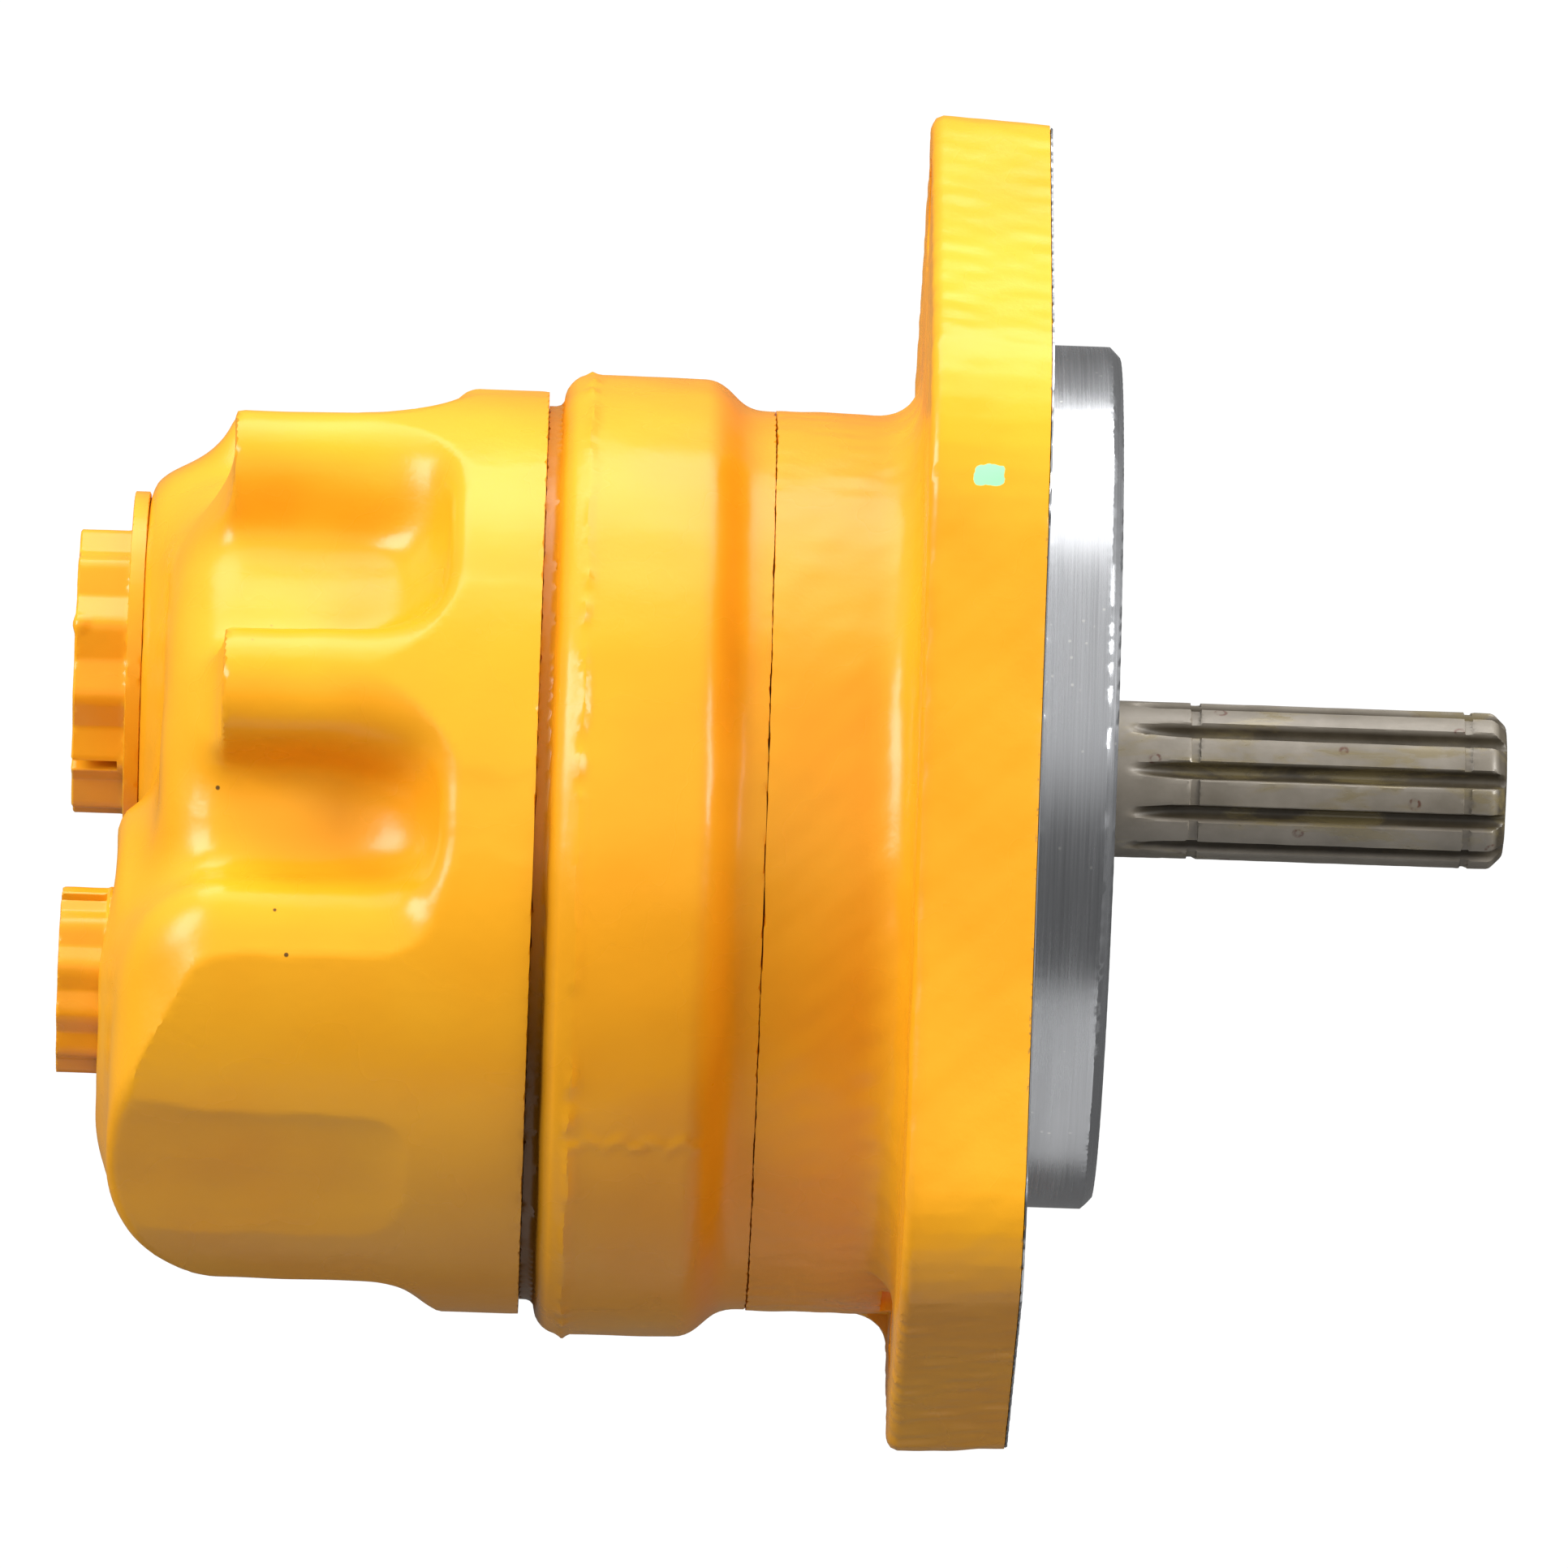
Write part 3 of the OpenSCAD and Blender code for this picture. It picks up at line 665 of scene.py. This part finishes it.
def paint_with_groove_shade(name):
    """The gear housing's paint, with painted shade: brown laid low down in the groove beside the cover,
    where shade falls.
    """
    material = paint(name)
    n = Nodes(name, material)
    base = n.shader.inputs["Base Color"].links[0].from_socket
    x, y, z = n.axes()
    from_rear = n.math("MULTIPLY", n.math("SUBTRACT", x, REAR_X * MM), 100.0)
    inside = n.ramp(from_rear, (0.13, 1.0), (0.26, 0.0))
    lower = n.ramp(n.math("MULTIPLY", z, -10.0), (0.06, 0.25), (0.30, 0.92))
    # Painted shade: the paint turns brown low down in the groove next to the cover.
    colour = n.mix(n.math("MULTIPLY", inside, lower), base, GROOVE_PAINTED_SHADE)
    n.link(colour, n.shader.inputs["Base Color"])
    return material


def front_paint(name):
    """The front housing's paint, with a green inspection dot and a chipped front edge."""
    material = paint(name)
    n = Nodes(name, material)
    base = n.shader.inputs["Base Color"].links[0].from_socket
    x, y, z = n.axes()
    dx = n.math("DIVIDE", n.math("ADD", x, 5.9 * MM), 1.45 * MM)
    dz = n.math("DIVIDE", n.math("SUBTRACT", z, 27.9 * MM), 1.0 * MM)
    square = n.math("ADD", *(n.math("POWER", n.math("ABSOLUTE", d), 4) for d in (dx, dz)))
    ragged = n.math("MULTIPLY", n.math("SUBTRACT", n.noise(900, 3), 0.5), 2.2)
    wobble = n.math("ADD", square, ragged)
    dab = n.ramp(wobble, (0.85, 1.0), (1.05, 0.0))
    near = n.ramp(n.math("MULTIPLY", y, -1.0), (0.040, 0.0), (0.041, 1.0))
    colour = n.mix(n.math("MULTIPLY", dab, near), base, GREEN_DOT)
    edge = n.ramp(n.math("MULTIPLY", x, -1000.0), (0.22, 1.0), (0.48, 0.0))
    chips = n.ramp(n.noise(1100, 4, 0.7), (0.60, 0.0), (0.64, 1.0))
    colour = n.mix(n.math("MULTIPLY", edge, chips), colour, CHIP_GREY)
    n.link(colour, n.shader.inputs["Base Color"])
    return material


def turned_metal(name, colour, low, high):
    """Bright turned metal: fine rings about X, smears and dust; low and high bound the roughness."""
    n = Nodes(name)
    fine = n.noise(900, 4, 0.7, n.scaled(6.0, 0.05, 0.05))
    broad = n.noise(120, 3, 0.6, n.scaled(3.0, 0.25, 0.25))
    shade = n.ramp(n.mix(0.45, fine, broad), (0.3, tuple(c * 0.72 for c in colour)), (0.7, colour))
    speck = n.ramp(n.spots(900), (0.10, 1.0), (0.16, 0.0))
    rare = n.ramp(n.noise(240, 2), (0.56, 0.0), (0.62, 1.0))
    shade = n.mix(n.math("MULTIPLY", speck, rare), shade, DUST)
    rough = n.ramp(n.mix(0.5, fine, n.noise(60, 2)), (0.3, low), (0.7, high))
    return n.finish(shade, rough, n.bump(fine, 0.012, 0.5), Metallic=1.0)


def phosphated_steel(name):
    """Dark phosphated steel, lighter on the lands and darker in the gaps, with oil in the gaps and rust
    rings on the lands.
    """
    n = Nodes(name)
    x, y, z = n.axes()
    r = n.math("SQRT", n.math("ADD", n.math("MULTIPLY", y, y), n.math("MULTIPLY", z, z)))
    land = n.ramp(n.math("MULTIPLY", r, 100.0), (0.69, 0.0), (0.735, 1.0))
    # Colour set by radius: lighter on the spline lands, darker in the gaps.
    land_tone = n.ramp(n.noise(180, 4, 0.6), (0.3, (0.165, 0.142, 0.108)), (0.7, (0.250, 0.220, 0.178)))
    gap_tone = n.ramp(n.noise(240, 4, 0.6), (0.3, (0.045, 0.034, 0.020)), (0.7, (0.085, 0.068, 0.042)))
    colour = n.mix(land, gap_tone, land_tone)
    grease = n.ramp(n.noise(230, 4, 0.65, n.scaled(0.35, 1.0, 1.0), 0.4), (0.52, 0.0), (0.62, 1.0))
    colour = n.mix(n.math("MULTIPLY", grease, 0.6), colour, OIL_AMBER)
    rim = n.ramp(n.spots(260, 0.9), (0.085, 0.0), (0.12, 1.0), (0.15, 1.0), (0.19, 0.0))
    rare = n.ramp(n.noise(90, 1), (0.46, 0.0), (0.50, 1.0))
    broken = n.ramp(n.noise(1500, 2), (0.42, 0.2), (0.55, 1.0))
    rust = n.math("MULTIPLY", n.math("MULTIPLY", rim, rare), n.math("MULTIPLY", broken, land))
    colour = n.mix(n.math("MULTIPLY", rust, 0.85), colour, RUST)
    rough = n.ramp(grease, (0.0, 0.42), (1.0, 0.2))
    crystal = n.noise(2600, 4, 0.7)
    normal = n.bump(n.noise(420, 3, 0.6, n.scaled(0.4, 1, 1)), 0.05, 0.4, n.bump(crystal, 0.02, 0.5))
    return n.finish(colour, rough, normal, Metallic=0.1, Specular_IOR_Level=0.6)


def plain_metal(name, colour, rough):
    """Machined inner metal with fine streaks."""
    n = Nodes(name)
    streak = n.noise(700, 4, 0.65, n.scaled(3.0, 0.3, 0.3))
    shade = n.ramp(streak, (0.3, tuple(c * 0.75 for c in colour)), (0.7, colour))
    finish = n.ramp(streak, (0.3, rough * 0.8), (0.7, rough * 1.3))
    return n.finish(shade, finish, n.bump(streak, 0.01, 0.5), Metallic=1.0)


def rubber(name):
    """Black nitrile rubber with a faint bloom."""
    n = Nodes(name)
    bloom = n.noise(300, 4, 0.6)
    shade = n.ramp(bloom, (0.35, (0.012, 0.012, 0.013)), (0.7, (0.035, 0.035, 0.036)))
    finish = n.ramp(bloom, (0.3, 0.45), (0.7, 0.65))
    return n.finish(shade, finish, n.bump(n.noise(2500, 2), 0.01, 0.4))


yellow = paint("yellow_paint")
front_yellow = front_paint("front_yellow_paint")
# The ring's paint carries painted shade in the groove beside the cover.
ring_shaded_paint = paint_with_groove_shade("ring_paint_painted_shade")
plug_yellow = paint("plug_paint", 0.8, False)
bare_metal = turned_metal("machined_metal", (0.62, 0.63, 0.65), 0.16, 0.34)
shaft_metal = phosphated_steel("phosphated_steel")
inner = {
    "machined_steel": plain_metal("ground_steel", (0.55, 0.56, 0.58), 0.25),
    "gear_steel": plain_metal("gear_steel", (0.42, 0.43, 0.45), 0.30),
    "spring_steel": plain_metal("spring_steel", (0.12, 0.12, 0.13), 0.35),
    "screw_steel": plain_metal("black_oxide", (0.07, 0.07, 0.075), 0.38),
    "bush_bronze": plain_metal("bronze", (0.55, 0.36, 0.16), 0.30),
    "seal_rubber": rubber("nitrile_rubber"),
}


# ---------------------------------------------------------------- pieces

replaced = set()


def dress(piece, material, body, node):
    """Gives a piece its material and body, hides the CAD node it stands for and counts that node as
    replaced.
    """
    piece.data.materials.append(material)
    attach(piece, body)
    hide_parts(node)
    replaced.add(node)


def around(node, extra=0.5):
    """A node's box with some room on every side, in millimetres."""
    low, high = box_mm(node)
    return low - extra, high + extra


low, high = around("front_housing")
dress(carve("front_housing_casting", painted_front_field, low, (0.5, high[1], high[2]), 0.7),
      front_yellow, "housing", "front_housing")
dress(carve("pilot_and_face", bare_front_field, (-1.0, low[1], low[2]), high, 0.55),
      bare_metal, "housing", "front_housing")
dress(carve("gear_housing_ring", gear_housing_field, *around("gear_housing"), 0.55),
      ring_shaded_paint, "housing", "gear_housing")
dress(carve("rear_cover_casting", rear_cover_field, *around("rear_cover"), 0.6),
      yellow, "housing", "rear_cover")
dress(carve("large_plug", large_plug_field, *around("large_port_plug"), 0.36),
      plug_yellow, "housing", "large_port_plug")
dress(carve("small_plug", small_plug_field, *around("small_port_plug"), 0.3),
      plug_yellow, "housing", "small_port_plug")
dress(carve("splined_shaft", shaft_field, *around("drive_shaft"), 0.3),
      shaft_metal, "drive_shaft_group", "drive_shaft")

for part in frame["record"]["subparts"]:
    if part["node"] not in replaced:
        mesh = frame["nodes"][part["node"]].data
        mesh.materials.clear()
        mesh.materials.append(inner[part["material_slot"]])


# ---------------------------------------------------------------- stage, light and camera

def stage_floor():
    """A pale round floor well below the motor."""
    radius = 0.5
    drop = -0.75
    steps = 96
    ring_points = [(radius * math.cos(a), radius * math.sin(a), drop)
                   for a in np.linspace(0, 2 * math.pi, steps, endpoint=False)]
    mesh = bpy.data.meshes.new("floor")
    mesh.from_pydata(ring_points, [], [list(range(steps))])
    floor = bpy.data.objects.new("floor", mesh)
    bpy.context.scene.collection.objects.link(floor)
    n = Nodes("pale_floor")
    shade = n.ramp(n.noise(3, 2), (0.3, 0.40), (0.7, 0.44))
    floor.data.materials.append(n.finish(shade, 0.6))


def softbox(name, place, target, width, height, radiance):
    """A rectangular lamp of even radiance, facing its target."""
    light = bpy.data.lights.new(name, "AREA")
    light.shape = "RECTANGLE"
    light.size, light.size_y = width, height
    light.energy = math.pi * width * height * radiance
    lamp = bpy.data.objects.new(name, light)
    bpy.context.scene.collection.objects.link(lamp)
    lamp.location = place
    lamp.rotation_euler = (Vector(target) - Vector(place)).to_track_quat("-Z", "Y").to_euler()


def studio_world():
    """Grey surroundings, lighter above the front and darker below, with a white background."""
    world = bpy.data.worlds.new("studio")
    bpy.context.scene.world = world
    world.use_nodes = True
    tree = world.node_tree
    tree.nodes.clear()
    new = tree.nodes.new
    place = new("ShaderNodeTexCoord")
    split = new("ShaderNodeSeparateXYZ")
    tree.links.new(place.outputs["Generated"], split.inputs[0])
    forward = new("ShaderNodeMath")
    forward.operation = "MULTIPLY"
    forward.inputs[1].default_value = -1.0
    tree.links.new(split.outputs["Y"], forward.inputs[0])
    turn = new("ShaderNodeMath")
    turn.operation = "ARCTAN2"
    tree.links.new(split.outputs["Z"], turn.inputs[0])
    tree.links.new(forward.outputs[0], turn.inputs[1])
    part = new("ShaderNodeMath")
    part.operation = "MULTIPLY_ADD"
    part.inputs[1].default_value = 0.5 / math.pi
    part.inputs[2].default_value = 0.5
    tree.links.new(turn.outputs[0], part.inputs[0])
    ramp = new("ShaderNodeValToRGB")
    tree.links.new(part.outputs[0], ramp.inputs["Fac"])
    # Angle in degrees from the front, up and over the top, with the grey of the surroundings there
    stops = ((-180, 0.16), (-112, 0.16), (-98, 0.40), (-90, 0.40), (-84, 0.13), (-14, 0.17), (8, 0.72),
             (60, 0.75), (118, 0.55), (150, 0.22), (180, 0.16))
    elements = ramp.color_ramp.elements
    while len(elements) < len(stops):
        elements.new(0.5)
    for element, (degrees, grey) in zip(elements, stops):
        element.position = degrees / 360 + 0.5
        element.color = (grey, grey, grey, 1)
    soft = new("ShaderNodeBackground")
    tree.links.new(ramp.outputs["Color"], soft.inputs["Color"])
    soft.inputs["Strength"].default_value = 1.0
    white = new("ShaderNodeBackground")
    white.inputs["Color"].default_value = (1, 1, 1, 1)
    white.inputs["Strength"].default_value = 1.05
    path = new("ShaderNodeLightPath")
    mix = new("ShaderNodeMixShader")
    tree.links.new(path.outputs["Is Camera Ray"], mix.inputs["Fac"])
    tree.links.new(soft.outputs[0], mix.inputs[1])
    tree.links.new(white.outputs[0], mix.inputs[2])
    out = new("ShaderNodeOutputWorld")
    tree.links.new(mix.outputs[0], out.inputs["Surface"])


def photo_camera():
    """A long lens, level with the shaft and turned a little about its own axis."""
    camera_data = bpy.data.cameras.new("camera")
    camera = bpy.data.objects.new("camera", camera_data)
    bpy.context.scene.collection.objects.link(camera)
    place = Vector((-0.045, -1.84, -0.0016))
    target = Vector((-0.0235, 0.0, -0.0016))
    roll = math.radians(1.98)
    frame_width = 0.1501
    camera_data.sensor_width = 36.0
    camera_data.lens = 36.0 * (target - place).length / frame_width
    camera_data.clip_end = 20.0
    look = (target - place).to_track_quat("-Z", "Y")
    camera.location = place
    camera.rotation_euler = (look.to_matrix() @ Matrix.Rotation(roll, 3, "Z")).to_euler()
    bpy.context.scene.camera = camera


MIDDLE = (-0.03, 0.0, 0.0)
stage_floor()
studio_world()
softbox("overhead", (-0.03, 0.135, 0.9), (-0.03, 0.135, 0.0), 1.2, 0.46, 3.3)
softbox("overhead_front", (-0.03, -0.285, 0.9), (-0.03, -0.285, 0.0), 1.2, 0.38, 1.6)
softbox("left", (-1.25, -0.75, 0.6), MIDDLE, 0.8, 0.8, 10.5)
softbox("right", (1.25, -0.75, 0.6), MIDDLE, 0.8, 0.8, 13.0)
photo_camera()
bpy.context.scene.view_settings.view_transform = "Standard"
